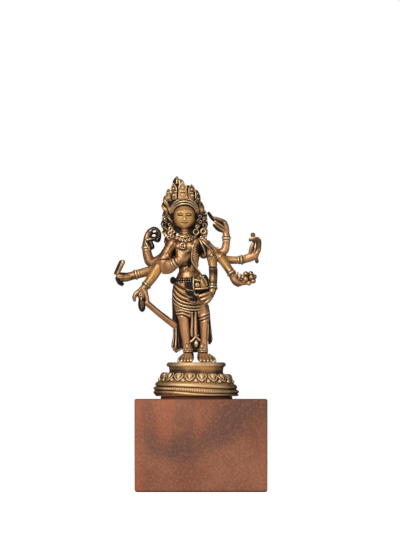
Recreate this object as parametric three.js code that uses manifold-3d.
// An eight-armed standing figure, cast in bronze, on an oval lotus pedestal and a wooden block.
// Millimetres, +Z up, the figure faces -Y and its own right hand side is at -X.
// The origin is the middle of the block's underside.
// A body is a list of stations along its length, [x, y, z, half width, half depth].

import * as THREE from "three";
import { mergeVertices } from "three/addons/utils/BufferGeometryUtils.js";
import Module from "manifold-3d";

const wasm = await Module();
wasm.setup();

// Driving dimensions of the base
const BLOCK = { width: 80, depth: 60, height: 56, corner: 1.6, bevel: 0.7 };
const BOSS = { x: -2.7, halfWidth: 21.7, halfDepth: 16.6, height: 1.7, sunk: 1, sides: 28 };
const GAP = 0.3;
const PEDESTAL = { x: -2.9, depthToWidth: 0.8, foot: BLOCK.height + BOSS.height + GAP, top: 78.2, sides: 24 };
const SOLE = PEDESTAL.top + GAP;

// The pedestal's half profile from the foot to the top, [radius, height]
const PEDESTAL_PROFILE = [
  [0, PEDESTAL.foot], [24.4, PEDESTAL.foot], [26, 59.2], [24.9, 60.3], [25.9, 61.6], [24.3, 63],
  [24.9, 64.4], [23.4, 66], [18, 71.2], [16.4, 72.2], [16.5, 75], [18, 76], [17.8, 77.4],
  [16.8, PEDESTAL.top], [0, PEDESTAL.top],
];
const PETALS = { count: 18, radius: 20.6, height: 69, halfWidth: 3.2, halfHeight: 3.2, halfThick: 1.6 };
const PETAL_LEAN = 36;

// How many sides the round bodies have
const SIDES = { body: 8, head: 8, limb: 6, finger: 4, cord: 4, bead: 6 };

// The body
const TORSO = [
  [-6.6, 0, 118, 9, 6.2], [-6.6, 0, 126, 9, 6.2], [-7.2, 0, 130, 6.8, 5.4], [-7.7, 0, 133.5, 5.7, 4.8],
  [-7.8, -0.2, 138, 6.2, 5.1], [-8.1, -0.2, 144, 7.6, 5.6], [-8.2, 0, 149, 9, 5.2],
  [-8.8, 0.3, 152.4, 6.6, 3.6],
];
const NECK = [[-9.2, 0.4, 151, 3.4], [-9.6, 0, 155, 2.2], [-9.9, -0.2, 160, 2.4]];
const SHOULDERS = [
  { at: [-16.8, 0.6, 149.8], radii: [3.6, 4, 3] },
  { at: [2, 0.8, 148.9], radii: [3.8, 4, 3.2] },
];
// The hollows between the upper arms and the chest are closed behind by a thin wall
const ARMPITS = [
  [[-16, 2, 149, 3, 2.6], [-16.4, 1.8, 144, 2.6, 2], [-16.6, 1.6, 141.6, 1.6]],
  [[1, 2, 150, 4, 2.6], [1.4, 1.8, 146, 3.4, 2], [1.6, 1.6, 142.6, 2.2, 1.6]],
];
const RIGHT_LEG = [
  [-10.6, 0, 112, 5.2], [-10.9, 0, 108, 4.3, 4.6], [-10.3, 0, 103, 3.4, 3.7], [-9.7, 0.1, 97, 3, 3.2],
  [-8.6, 0.2, 90.5, 2.2, 2.3], [-7.7, 0.2, 84, 3.1, 2.5], [-7.4, 0, 81, 3.2, 2.3],
];
const LEFT_LEG = [
  [0.2, 0, 112, 4.2, 5.2], [1.5, 0, 108, 3.4, 4.4], [2.1, 0, 103, 3, 3.6], [2.2, 0.1, 97, 2.5, 3.1],
  [1.9, 0.2, 90.5, 2.2, 2.3], [1.1, 0.2, 84, 3.1, 2.5], [0.9, 0, 81, 3.3, 2.3],
];
const FEET = [
  { heel: [-7.1, 1.8], ball: [-9.5, -6.2], splay: -0.6, halfWidth: 3.6 },
  { heel: [0.6, 1.8], ball: [3.8, -6.2], splay: 0.8, halfWidth: 4.1 },
];
const HEEL = { halfWidth: 2.6, halfHeight: 2 };
const BALL_HALF_HEIGHT = 1.3;
const TOES = { length: 1.8, halfHeight: 0.85, spread: 0.3 };

// The skirt, the bands on the thighs and ankles, and the cloth that hangs from the hips
const SKIRT = [
  [-5.5, 0, 110.8, 9.3, 6.1], [-6.4, 0, 114.6, 10.1, 6.6], [-6.8, 0, 119.4, 10.5, 6.8],
  [-6.8, 0, 123.6, 10, 6.7], [-7, 0, 127.6, 8.6, 6.4], [-7.4, 0, 130.2, 7.2, 5.7],
];
const SKIRT_FOLD = { count: 5, rise: 0.8, middle: -4, sag: 0.025 };
const SKIRT_SIDES = 12;
const THIGH_BANDS = [
  { x: -10.9, z: 107.4, halfWidth: 4.4, halfDepth: 4.7, tilt: 7 },
  { x: 1.8, z: 105.8, halfWidth: 3.5, halfDepth: 4.3, tilt: -14 },
];
const ANKLETS = [
  { x: -7.9, z: 86, halfWidth: 3, halfDepth: 2.9 },
  { x: 1.1, z: 86, halfWidth: 3.1, halfDepth: 2.9 },
];
const BAND = { thigh: 3, ankle: 1.2, sides: 8 };
const BELT = [[-7, 0, 127, 9, 6.7], [-7, 0, 129.4, 7.9, 6.1]];
const HIP_KNOT = { at: [-17, -0.2, 127.9], radii: [1.8, 1.8, 2.3] };
const HANGING_CLOTH = [
  [[-3.8, 1.4, 113, 4.6, 3], [-3.8, 1.4, 100, 4.6, 2], [-3.4, 1.2, 85.6, 3.3, 1.9]],
  [[-13.8, 2.2, 113, 2.6, 1.6], [-13.4, 2.2, 103, 2.6, 1.4], [-12.4, 2.2, 87.4, 2.4, 1]],
  [[3.6, 2.2, 109, 1.6, 1.4], [4, 2.2, 100, 1.6, 1.2], [4.4, 2.2, 92, 1.4, 1]],
  [[-3.6, -4.6, 112, 2.4, 1.3], [-3.9, -3.2, 105, 2.3, 1.2], [-3.3, -2.4, 93.4, 2.6, 0.9]],
  [[-3.2, -1.6, 94, 1.6, 1.2], [-2.9, -1.4, 88, 1.4, 1.2]],
  [[-16.6, 2.6, 117, 1.1, 2], [-16, 2.6, 108, 1.4, 2], [-15.8, 2.4, 101.5, 1.8], [-15.2, 2.2, 94, 1.8, 1.5],
    [-15.5, 2, 89, 2.4, 1.4], [-14.8, 2, 86, 2.2, 1.2]],
  [[3.4, 2.4, 112, 1.5, 2.4], [4.5, 2.4, 103, 1.3, 1.8], [5.2, 2.3, 96, 1.3], [5.6, 2.3, 91.8, 1.3, 1.2],
    [5.1, 2.3, 89.8, 0.8]],
];

// The eight arms: the arm to the wrist, the palm, and the fingers with the small things they hold
const ARMS = [
  {
    arm: [[-17, -0.5, 150, 3.5], [-21.3, -1, 143.5, 3.2], [-25.8, -2, 136, 3.1], [-29.6, -3.6, 130, 2.8],
      [-34, -5, 123.7, 2.2]],
    palm: [[-34.2, -5.2, 123.3, 2.3, 1.8], [-36, -5.6, 120.2, 2.9, 1.7], [-35.6, -5.7, 117.7, 2.2, 1.5]],
    fingers: [
      [[-36.4, -6, 122.2, 1.2], [-39.4, -6.4, 119.6, 1.3], [-40.2, -6.6, 115.7, 0.9]],
      [[-34, -5.8, 122, 1.4], [-32.3, -6, 115, 1.2]],
      [[-35.8, -5.8, 118, 1.8, 1.3], [-35.9, -5.9, 113.4, 2.4, 1.5], [-35.6, -5.9, 110.2, 1.6, 1.1]],
    ],
  },
  {
    arm: [[-17.6, -1, 150, 3.2], [-21, -2.6, 144, 3.5], [-22.4, -4.8, 137.4, 4], [-20.8, -6.4, 135.4, 4.3],
      [-17.8, -7.5, 136.6, 3.6], [-14.6, -8.4, 139, 2.8]],
    palm: [[-12.6, -8.5, 139.6, 2.7, 1.8], [-11.2, -8.5, 141.4, 4, 2], [-10.4, -8.1, 144, 4.5, 1.7]],
    fingers: [
      [[-13, -8, 143.3, 1.4], [-14.2, -7.4, 145.3, 1.1]],
      [[-9.6, -7.8, 143.5, 1.6], [-7, -7.2, 146.1, 1.3]],
    ],
  },
  {
    arm: [[-18, 4, 148, 3], [-24, 4.6, 141.5, 2.8], [-29.8, 4.8, 138.6, 3.1], [-32.6, 4.6, 143.2, 2.8],
      [-33.3, 4.2, 149.4, 2.5]],
    palm: [[-33, 4, 150.6, 2.4, 1.8], [-32.2, 3.8, 155, 2.2, 1.7], [-30.6, 3.6, 157.8, 1.9, 1.6]],
    fingers: [
      [[-31, 3.6, 157, 2.2, 1.6], [-28.4, 3.4, 158.8, 1.8, 1.6], [-26.2, 3.4, 157, 1.9, 1.6],
        [-26.5, 3.3, 153, 2.1, 1.5]],
      [[-31.4, 3.4, 153.6, 1.6], [-26.8, 3.2, 152.8, 1.8]],
      [[-31, 3.2, 151, 1.8], [-30, 3, 148.4, 1.9]],
    ],
  },
  {
    arm: [[-18, 3, 146.6, 3], [-23.5, 3.4, 139.1, 2.8], [-29, 3, 134.5, 2.9], [-35, 2, 132.6, 2.8],
      [-40.8, 1.2, 131, 2.45]],
    palm: [[-41.4, 1, 130.8, 2.5, 1.8], [-46, 0.6, 129.7, 2.7, 1.7], [-49.8, 0.4, 130, 2.3, 1.6]],
    fingers: [
      [[-51.2, 0.2, 131, 1.5], [-50.4, 0, 134.4, 1.6], [-47.8, -0.2, 139, 1.6]],
      [[-50.6, 0.2, 129.2, 1.5], [-49.4, 0.2, 126.8, 1.6], [-47.9, 0.2, 125.7, 1.3]],
      [[-45, -0.6, 131.6, 0.9], [-47.6, -0.2, 134.4, 0.8]],
    ],
  },
  {
    arm: [[3, -0.4, 149.4, 3.2], [6.1, -1, 142.7, 3], [7.3, -1.8, 135.9, 2.7], [7.4, -3.8, 128.7, 2.55],
      [7, -6, 122, 2.3]],
    palm: [[6.8, -6.6, 120.7, 2.1, 1.6], [5, -7.8, 118.1, 2.3, 1.6], [3.6, -8.2, 116.5, 1.9, 1.4]],
    fingers: [
      [[5, -8.4, 119.8, 1.3], [-0.7, -8.9, 118.2, 1]],
      [[5.4, -8.6, 118.2, 1.4], [0.3, -9.1, 116, 1]],
      [[5.8, -8.4, 117, 1.4], [2.4, -8.9, 114, 1]],
    ],
  },
  {
    arm: [[3.6, 0.4, 148.6, 2.9], [9.1, 0, 144.1, 2.8], [13.5, -0.8, 139.5, 2.7], [17.1, -1.8, 134.3, 2.5],
      [19.1, -2.6, 131.1, 2.2]],
    palm: [[19.5, -2.8, 130.3, 2.5, 1.8], [21.5, -3.2, 127.4, 2.7, 1.7], [24.1, -3.6, 126, 1.8, 1.4]],
    fingers: [
      [[21.1, -3.4, 130.5, 1.1], [21.9, -4, 132.1, 1]],
      [[23.3, -3.6, 125.9, 1.3], [27.3, -3.8, 126, 1.1]],
      [[18.8, -2.4, 128.6, 1.2], [22.2, -3, 125, 1.1]],
    ],
  },
  {
    arm: [[4, 3, 147.1, 2.8], [9.6, 3.8, 142.7, 2.6], [15.5, 4, 140.6, 2.4], [21, 3.8, 140.2, 2.3],
      [26, 3.2, 140.5, 2.3]],
    palm: [[26.8, 3, 140.7, 2.3, 1.7], [30, 2.6, 141.6, 2.3, 1.6], [33.2, 2.4, 143.3, 1.8, 1.5]],
    fingers: [
      [[34, 2.1, 144.4, 1.7], [35.4, 2, 148.8, 1.4], [34.6, 1.8, 152.4, 1.5], [30.4, 1.4, 152.9, 1.2]],
      [[32.6, 2.2, 145.6, 1.8, 1.2], [33.2, 2.2, 149, 2.3, 1.2], [32.4, 2, 152, 1.6, 1.1]],
    ],
  },
  {
    arm: [[3.4, 3.4, 148, 2.8], [9, 4.4, 144.6, 2.5], [13.9, 4.6, 145.8, 2.6], [15.3, 4.4, 150.4, 2.4],
      [15.4, 4, 155, 2.3]],
    palm: [[15.2, 3.8, 156, 2.1, 1.6], [15.4, 3.4, 159.6, 1.7, 1.5], [14.6, 3, 162.8, 1.5]],
    fingers: [
      [[14, 3, 163.6, 1.3], [7.8, 2.4, 165.9, 0.9]],
      [[14.2, 3, 158.8, 1.7, 1], [12.4, 3, 161.8, 2.4, 1], [8.6, 2.2, 163.6, 0.9]],
      [[13, 3, 158, 1.5], [8, 2.4, 161.4, 1.1]],
    ],
  },
];
const BRACELET = { far: 2.6, near: 0.4, edge: 0.2, swell: 0.6 };

// What the hands hold
const STAFF = [[-32.6, -5.4, 114.2, 1.9], [-25, -2.4, 107.7, 1.95], [-16.4, 1.6, 100.9, 2]];
const POINTED_ROD = [[4.7, 2.4, 168.6, 1], [7, 2.4, 165.4, 1.1], [10, 2.8, 163, 0.9]];
const KNOB_ROD = [[31.5, 1.8, 156, 1.2], [31.8, 1.8, 152, 0.9], [33, 1.9, 145, 0.8], [33.9, 2, 139.4, 1.2]];
const PURSE = [
  [[-0.6, -6, 130, 2.4, 1.4], [-0.2, -7.4, 126, 4, 1.8], [-0.4, -7.4, 121.6, 4, 1.6],
    [-1.4, -7.8, 119.4, 2.2, 1.2]],
  [[2.8, -3.8, 130, 1.6, 1.4], [3.4, -4.6, 126, 2.4, 1.4], [3.4, -5.2, 120.6, 2.6, 1.4]],
  [[0.4, -8, 129, 0.8], [1, -8.2, 126.4, 1.8, 1.5], [1.4, -8.2, 123.6, 2.1, 1.1]],
];
const PURSE_HANDLE = [[0.8, -5.4, 131.2, 0.7], [4.2, -5.6, 129.4, 0.7], [5.2, -6.4, 123.6, 0.7]];
const JEWELS = { at: [28.8, -4, 129.2], ring: 3.7, flat: 0.82, radius: 1.8, count: 8 };
const JEWEL_HEART = { radii: [3.9, 2.4, 3.2], ahead: 0.4 };

// The head
const SKULL = { at: [-10, 0.6, 168.4], radii: [7.2, 6.8, 7.4] };
const FACE = { at: [-10, -1.5, 166.4], radii: [6.9, 6, 7.4] };
const NOSE = [[-10, -6.2, 168.9, 0.7], [-10, -7.8, 165, 1]];
const HAIR = [
  [-9.4, 3, 152, 9.6, 3], [-10, 3, 157, 11, 3.8], [-10.2, 3, 163, 11, 4.4], [-10.6, 2.6, 170, 10, 5],
  [-10.8, 2, 176, 9, 5],
];
// The twisted locks at both sides, thick and thin in turn
const LOCKS = [
  [[-20.8, 1.6, 177.6, 1.6], [-21.4, 1.6, 174.4, 2.6], [-21, 1.6, 170.4, 1.9], [-21.2, 1.5, 166.4, 2.5],
    [-21.4, 1.4, 163.4, 2.1], [-21.8, 1.2, 160.4, 2.7], [-20.6, 1, 156, 1.9], [-20.4, 0.8, 152, 2.3]],
  [[-0.8, 1.6, 175, 1.6], [0, 1.6, 171.6, 2.3], [0.8, 1.6, 169, 1.9], [1.8, 1.5, 164.8, 2.4],
    [1.8, 1.3, 161.4, 1.9], [1.8, 1.2, 158.4, 2.3], [1.9, 1, 153.6, 1.8]],
];
const RING_CURLS = { at: [-18, -0.6, 156.6], radii: [2.3, 1.9, 3.9] };
const EARRING = { at: [1.4, -0.9, 157.6], radius: 1.5, thickness: 0.8 };
const DIADEM = { halfWidth: 8.4, halfDepth: 7.2, height: 176.6, drop: 9.4, radius: 1.1, spans: 6 };
const CROWN_DRUM = [
  [-10.4, 0.6, 174, 8.4, 5.8], [-10.4, 0.8, 177, 9.2, 5.4], [-10.8, 1.2, 180.4, 8.2, 3.2],
  [-11.4, 1.4, 182.8, 6, 1.6],
];
const LEAVES = [
  { foot: [-19, -2, 177], tall: 6, halfWidth: 2.3, turn: -56 },
  { foot: [-2.5, -2, 176], tall: 6.2, halfWidth: 2.4, turn: 54 },
  { foot: [-15.7, -4.8, 177.4], tall: 7.8, halfWidth: 2.5, turn: -34 },
  { foot: [-5.7, -4.9, 177.2], tall: 8.4, halfWidth: 2.6, turn: 32 },
  { foot: [-10.8, -6.5, 177.2], tall: 9.4, halfWidth: 3.3, turn: 0 },
];
const LEAF = { thick: 1.3, bulge: 1.1, shoulder: 0.6, lean: 8, curveSegments: 3 };
const TOPKNOT = [
  [-12, 1.6, 180, 4.4], [-13, 1.4, 185, 3.7, 3.2], [-13.9, 1.2, 187.8, 2.7, 2.2], [-14.5, 1, 190.3, 1],
];

// Ornaments on the chest
const COLLAR = [
  [-15.6, -1.8, 154.2, 0.9], [-12.6, -3.2, 152.9, 1.1], [-9.2, -4, 151.9, 1.2], [-6, -3.2, 153, 1.1],
  [-3.2, -1.6, 154.6, 0.9],
];
const PENDANT = { at: [-11, -5.4, 148.6], radii: [2, 1.3, 2] };
const HIDE_EDGE = [
  [-0.9, -2.8, 153, 0.7], [-4.6, -5.2, 149, 0.7], [-5.6, -5.7, 141, 0.7], [-3, -5, 135.8, 0.7],
  [0.4, -3.8, 131.4, 0.7],
];
const SHOULDER_RIDGE = [[-0.4, -2.4, 152.8, 0.7], [3.4, -3.7, 149, 0.8], [7.2, -3.6, 145.4, 0.7]];

// A closed mesh becomes a solid: shared corners are merged and flat triangles dropped
const MERGE = 1e-4;
function solid(geometry) {
  const bare = geometry.clone();
  bare.deleteAttribute("normal");
  bare.deleteAttribute("uv");
  const merged = mergeVertices(bare, MERGE);
  const corners = [...merged.index.array];
  const faces = [];
  for (let i = 0; i < corners.length; i += 3) {
    const [a, b, c] = corners.slice(i, i + 3);
    if (a !== b && b !== c && c !== a) faces.push(a, b, c);
  }
  const mesh = new wasm.Mesh({
    numProp: 3,
    vertProperties: new Float32Array(merged.attributes.position.array),
    triVerts: new Uint32Array(faces),
  });
  return new wasm.Manifold(mesh);
}

// The solids joined into one, as a geometry again
function joined(solids) {
  const mesh = wasm.Manifold.union(solids).getMesh();
  const geometry = new THREE.BufferGeometry();
  geometry.setAttribute("position", new THREE.BufferAttribute(mesh.vertProperties, 3));
  geometry.setIndex(new THREE.BufferAttribute(mesh.triVerts, 1));
  geometry.computeVertexNormals();
  return geometry;
}

// A smooth curve through the stations' middles
function spine(stations) {
  const middles = stations.map(([x, y, z]) => new THREE.Vector3(x, y, z));
  return new THREE.CatmullRomCurve3(middles, false, "centripetal");
}

// Half width and half depth at a place t along the stations, 0 at the first and 1 at the last
const AT_END = 1 - 1e-9;
function sectionAt(stations, t) {
  const span = Math.min(t, AT_END) * (stations.length - 1);
  const from = stations[Math.floor(span)];
  const to = stations[Math.floor(span) + 1];
  const blend = span - Math.floor(span);
  const wide = THREE.MathUtils.lerp(from[3], to[3], blend);
  const deep = THREE.MathUtils.lerp(from[4] ?? from[3], to[4] ?? to[3], blend);
  return { wide, deep };
}

// A round-ended body of oval section along a smooth curve through its stations
// whose first corner lies out to the side, so that its outline from the front is the full width
const BACK = new THREE.Vector3(0, 1, 0);
const END_PUSH = 0.6;
const TO_THE_SIDE = Math.PI / 2;
function limb(stations, sides) {
  const curve = spine(stations);
  const spans = stations.length - 1;
  const rows = [
    { t: 0, grow: 0, push: -END_PUSH },
    ...stations.map((_, i) => ({ t: i / spans, grow: 1, push: 0 })),
    { t: 1, grow: 0, push: END_PUSH },
  ];
  const profile = rows.map(({ grow }, i) => new THREE.Vector2(grow, i));
  const geometry = new THREE.LatheGeometry(profile, sides, TO_THE_SIDE);
  const place = geometry.attributes.position;
  for (let i = 0; i < place.count; i += 1) {
    const { t, push } = rows[Math.round(place.getY(i))];
    const { wide, deep } = sectionAt(stations, t);
    const along = curve.getTangent(t);
    const deepAxis = BACK.clone().addScaledVector(along, -BACK.dot(along)).normalize();
    const wideAxis = along.clone().cross(deepAxis);
    const spot = curve.getPoint(t);
    spot.addScaledVector(along, push * Math.min(wide, deep));
    spot.addScaledVector(wideAxis, place.getX(i) * wide);
    spot.addScaledVector(deepAxis, place.getZ(i) * deep);
    place.setXYZ(i, spot.x, spot.y, spot.z);
  }
  return solid(geometry);
}

const BALL_ROWS = 5;
function ball({ at, radii }, sides, rows = BALL_ROWS) {
  const geometry = new THREE.SphereGeometry(1, sides, rows);
  geometry.scale(...radii);
  geometry.translate(...at);
  return solid(geometry);
}

// A small round bead or jewel
const BEAD_ROWS = 3;
function bead(at, radius) {
  return ball({ at, radii: [radius, radius, radius] }, SIDES.bead, BEAD_ROWS);
}

// A flat oval band round an upright limb, its disc tilted about the Y axis
function band({ x, z, halfWidth, halfDepth, tilt = 0 }, height) {
  const geometry = new THREE.CylinderGeometry(1, 1, height, BAND.sides);
  geometry.rotateX(Math.PI / 2);
  geometry.scale(halfWidth, halfDepth, 1);
  geometry.rotateY(THREE.MathUtils.degToRad(tilt));
  geometry.translate(x, 0, z);
  return solid(geometry);
}

// The arm's stations with a bracelet swelling out just above the wrist
function braceleted(arm) {
  const [elbow, wrist] = arm.slice(-2);
  const length = Math.hypot(...wrist.slice(0, 3).map((value, i) => value - elbow[i]));
  const above = (distance, swell) => {
    const t = 1 - distance / length;
    const station = wrist.map((value, i) => THREE.MathUtils.lerp(elbow[i], value, t));
    station[3] += swell;
    return station;
  };
  const { far, near, edge, swell } = BRACELET;
  return [...arm.slice(0, -1), above(far + edge, 0), above(far, swell), above(near, swell), wrist];
}

function armWithHand({ arm, palm, fingers }) {
  return [
    limb(braceleted(arm), SIDES.limb),
    limb(palm, SIDES.limb),
    ...fingers.map((finger) => limb(finger, SIDES.finger)),
  ];
}

// The skirt: an oval body whose folds sag from the hips to the front
function skirt() {
  const curve = spine(SKIRT);
  const rows = 2 * SKIRT_FOLD.count;
  const profile = [new THREE.Vector2(0, 0)];
  for (let row = 0; row <= rows; row += 1) profile.push(new THREE.Vector2(1, row));
  profile.push(new THREE.Vector2(0, rows));
  const geometry = new THREE.LatheGeometry(profile, SKIRT_SIDES, TO_THE_SIDE);
  const place = geometry.attributes.position;
  for (let i = 0; i < place.count; i += 1) {
    const row = Math.round(place.getY(i));
    const t = row / rows;
    const { wide, deep } = sectionAt(SKIRT, t);
    const middle = curve.getPoint(t);
    const ridge = row % 2 === 1 ? SKIRT_FOLD.rise : 0;
    const x = middle.x + place.getX(i) * (wide + ridge);
    const sag = SKIRT_FOLD.sag * (x - SKIRT_FOLD.middle) ** 2 * Math.sin(Math.PI * t);
    place.setXYZ(i, x, middle.y - place.getZ(i) * (deep + ridge), middle.z + sag);
  }
  return solid(geometry);
}

// A round-ended body that lies level: its half height is set by the upright direction
function flatLimb([from, to]) {
  const start = new THREE.Vector3(...from.slice(0, 3));
  const end = new THREE.Vector3(...to.slice(0, 3));
  const length = start.distanceTo(end);
  const along = end.clone().sub(start).setZ(0).normalize();
  const side = new THREE.Vector3(along.y, -along.x, 0);
  const geometry = new THREE.CapsuleGeometry(1, length, 1, SIDES.limb, 1);
  const place = geometry.attributes.position;
  for (let i = 0; i < place.count; i += 1) {
    const y = place.getY(i);
    const t = THREE.MathUtils.clamp(y / length + 0.5, 0, 1);
    const { wide, deep: tall } = sectionAt([from, to], t);
    const spot = start.clone().lerp(end, t);
    spot.addScaledVector(along, (y - (t - 0.5) * length) * Math.min(wide, tall));
    spot.addScaledVector(side, place.getX(i) * wide);
    place.setXYZ(i, spot.x, spot.y, spot.z + place.getZ(i) * tall);
  }
  return solid(geometry);
}

// A foot: a wedge from the heel to the ball of the foot, and a flat one for the toes
function foot({ heel, ball: front, splay, halfWidth }) {
  const [x, y] = front;
  const back = [...heel, SOLE + HEEL.halfHeight, HEEL.halfWidth, HEEL.halfHeight];
  const middle = [x, y, SOLE + BALL_HALF_HEIGHT, halfWidth, BALL_HALF_HEIGHT];
  const low = SOLE + TOES.halfHeight;
  const root = [x, y, low, halfWidth, TOES.halfHeight];
  const tips = [x + splay, y - TOES.length, low, halfWidth + TOES.spread, TOES.halfHeight];
  return [flatLimb([back, middle]), flatLimb([root, tips])];
}

// An arched band over the brow
function diadem() {
  const { halfWidth, halfDepth, height, drop, radius, spans } = DIADEM;
  const stations = [];
  for (let i = 0; i <= spans; i += 1) {
    const turn = (Math.PI * i) / spans;
    const x = SKULL.at[0] - halfWidth * Math.cos(turn);
    const y = SKULL.at[1] - halfDepth * Math.sin(turn);
    stations.push([x, y, height - drop + drop * Math.sin(turn), radius]);
  }
  return limb(stations, SIDES.cord);
}

// A pointed leaf of the crown, standing on its foot and turned about the upright
function crownLeaf({ foot: [x, y, z], tall, halfWidth, turn }) {
  const { thick, bulge, shoulder, lean, curveSegments } = LEAF;
  const outline = new THREE.Shape();
  outline.moveTo(-halfWidth, 0);
  outline.quadraticCurveTo(-halfWidth * bulge, tall * shoulder, 0, tall);
  outline.quadraticCurveTo(halfWidth * bulge, tall * shoulder, halfWidth, 0);
  const geometry = new THREE.ExtrudeGeometry(outline, { depth: thick, bevelEnabled: false, curveSegments });
  geometry.translate(0, 0, -thick / 2);
  geometry.rotateX(Math.PI / 2 - THREE.MathUtils.degToRad(lean));
  geometry.rotateZ(THREE.MathUtils.degToRad(turn));
  geometry.translate(x, y, z);
  return solid(geometry);
}

const EARRING_SIDES = { tube: 4, ring: 8 };
function earring({ at, radius, thickness }) {
  const geometry = new THREE.TorusGeometry(radius, thickness, EARRING_SIDES.tube, EARRING_SIDES.ring);
  geometry.rotateX(Math.PI / 2);
  geometry.translate(...at);
  return solid(geometry);
}

function head() {
  return [
    ball(SKULL, SIDES.head),
    ball(FACE, SIDES.head),
    limb(NOSE, SIDES.cord),
    limb(NECK, SIDES.limb),
    limb(HAIR, SIDES.body),
    limb(CROWN_DRUM, SIDES.body),
    limb(TOPKNOT, SIDES.limb),
    ball(RING_CURLS, SIDES.bead),
    earring(EARRING),
    ...LOCKS.map((stations) => limb(stations, SIDES.limb)),
    diadem(),
    ...LEAVES.map(crownLeaf),
  ];
}

function body() {
  return [
    limb(TORSO, SIDES.body),
    skirt(),
    limb(BELT, SIDES.body),
    limb(RIGHT_LEG, SIDES.limb),
    limb(LEFT_LEG, SIDES.limb),
    ...THIGH_BANDS.map((place) => band(place, BAND.thigh)),
    ...ANKLETS.map((place) => band(place, BAND.ankle)),
    ...FEET.flatMap(foot),
    ...HANGING_CLOTH.map((stations) => limb(stations, SIDES.limb)),
    ...ARMPITS.map((stations) => limb(stations, SIDES.limb)),
    ...SHOULDERS.map((shoulder) => ball(shoulder, SIDES.body)),
    ball(HIP_KNOT, SIDES.bead),
    limb(COLLAR, SIDES.cord),
    ball(PENDANT, SIDES.bead),
    limb(HIDE_EDGE, SIDES.cord),
    limb(SHOULDER_RIDGE, SIDES.cord),
  ];
}

// The round jewels in the outer left hand, in a ring about a rounded heart
function jewels() {
  const { at: [x, y, z], ring, flat, radius, count } = JEWELS;
  const heart = ball({ at: [x, y + JEWEL_HEART.ahead, z], radii: JEWEL_HEART.radii }, SIDES.bead);
  const around = Array.from({ length: count }, (_, i) => {
    const turn = (2 * Math.PI * i) / count;
    return bead([x + ring * Math.cos(turn), y, z + flat * ring * Math.sin(turn)], radius);
  });
  return [heart, ...around];
}

function attributes() {
  return [
    limb(STAFF, SIDES.limb),
    limb(POINTED_ROD, SIDES.cord),
    limb(KNOB_ROD, SIDES.cord),
    ...PURSE.map((stations) => limb(stations, SIDES.limb)),
    limb(PURSE_HANDLE, SIDES.cord),
    ...jewels(),
  ];
}

function figure() {
  return joined([...body(), ...head(), ...ARMS.flatMap(armWithHand), ...attributes()]);
}

// Squeezes a round body to the pedestal's oval and moves it to the pedestal's middle
function onPedestal(geometry) {
  geometry.scale(1, PEDESTAL.depthToWidth, 1);
  geometry.translate(PEDESTAL.x, 0, 0);
  return solid(geometry);
}

// One lotus petal, a rounded leaf lying on the sloping shoulder of the pedestal
function petal(index) {
  const geometry = new THREE.SphereGeometry(1, SIDES.bead, BEAD_ROWS);
  geometry.scale(PETALS.halfThick, PETALS.halfHeight, PETALS.halfWidth);
  geometry.rotateX(Math.PI / 2);
  geometry.rotateY(THREE.MathUtils.degToRad(-PETAL_LEAN));
  geometry.translate(PETALS.radius, 0, PETALS.height);
  geometry.rotateZ((2 * Math.PI * index) / PETALS.count);
  return onPedestal(geometry);
}

function pedestal() {
  const profile = PEDESTAL_PROFILE.map(([radius, height]) => new THREE.Vector2(radius, height));
  const turned = new THREE.LatheGeometry(profile, PEDESTAL.sides);
  turned.rotateX(Math.PI / 2);
  const petals = Array.from({ length: PETALS.count }, (_, index) => petal(index));
  return joined([onPedestal(turned), ...petals]);
}

// The wooden block with its bevelled edges, and the low oval boss on it
function block() {
  const { width, depth, height, corner, bevel } = BLOCK;
  const outline = new THREE.Shape();
  const x = width / 2 - bevel;
  const y = depth / 2 - bevel;
  outline.moveTo(-x + corner, -y);
  outline.lineTo(x - corner, -y);
  outline.quadraticCurveTo(x, -y, x, -y + corner);
  outline.lineTo(x, y - corner);
  outline.quadraticCurveTo(x, y, x - corner, y);
  outline.lineTo(-x + corner, y);
  outline.quadraticCurveTo(-x, y, -x, y - corner);
  outline.lineTo(-x, -y + corner);
  outline.quadraticCurveTo(-x, -y, -x + corner, -y);
  const edge = { bevelThickness: bevel, bevelSize: bevel, bevelSegments: 1, curveSegments: 2 };
  const box = new THREE.ExtrudeGeometry(outline, { depth: height - 2 * bevel, ...edge });
  box.translate(0, 0, bevel);
  const boss = new THREE.CylinderGeometry(1, 1, BOSS.height + BOSS.sunk, BOSS.sides);
  boss.rotateX(Math.PI / 2);
  boss.scale(BOSS.halfWidth, BOSS.halfDepth, 1);
  boss.translate(BOSS.x, 0, height + (BOSS.height - BOSS.sunk) / 2);
  return joined([solid(box), solid(boss)]);
}

// Materials and the finished group
const BRONZE = new THREE.MeshStandardMaterial({ color: "#a97a48", roughness: 0.42, metalness: 0.9 });
const PEDESTAL_BRONZE = new THREE.MeshStandardMaterial({ color: "#b58a4c", roughness: 0.45, metalness: 0.9 });
const WOOD = new THREE.MeshStandardMaterial({ color: "#9d5d42", roughness: 0.55, metalness: 0 });

function piece(name, geometry, material) {
  const mesh = new THREE.Mesh(geometry, material);
  mesh.name = name;
  return mesh;
}

const work = new THREE.Group();
work.add(piece("figure", figure(), BRONZE));
work.add(piece("lotus_pedestal", pedestal(), PEDESTAL_BRONZE));
work.add(piece("wood_block", block(), WOOD));

export default work;
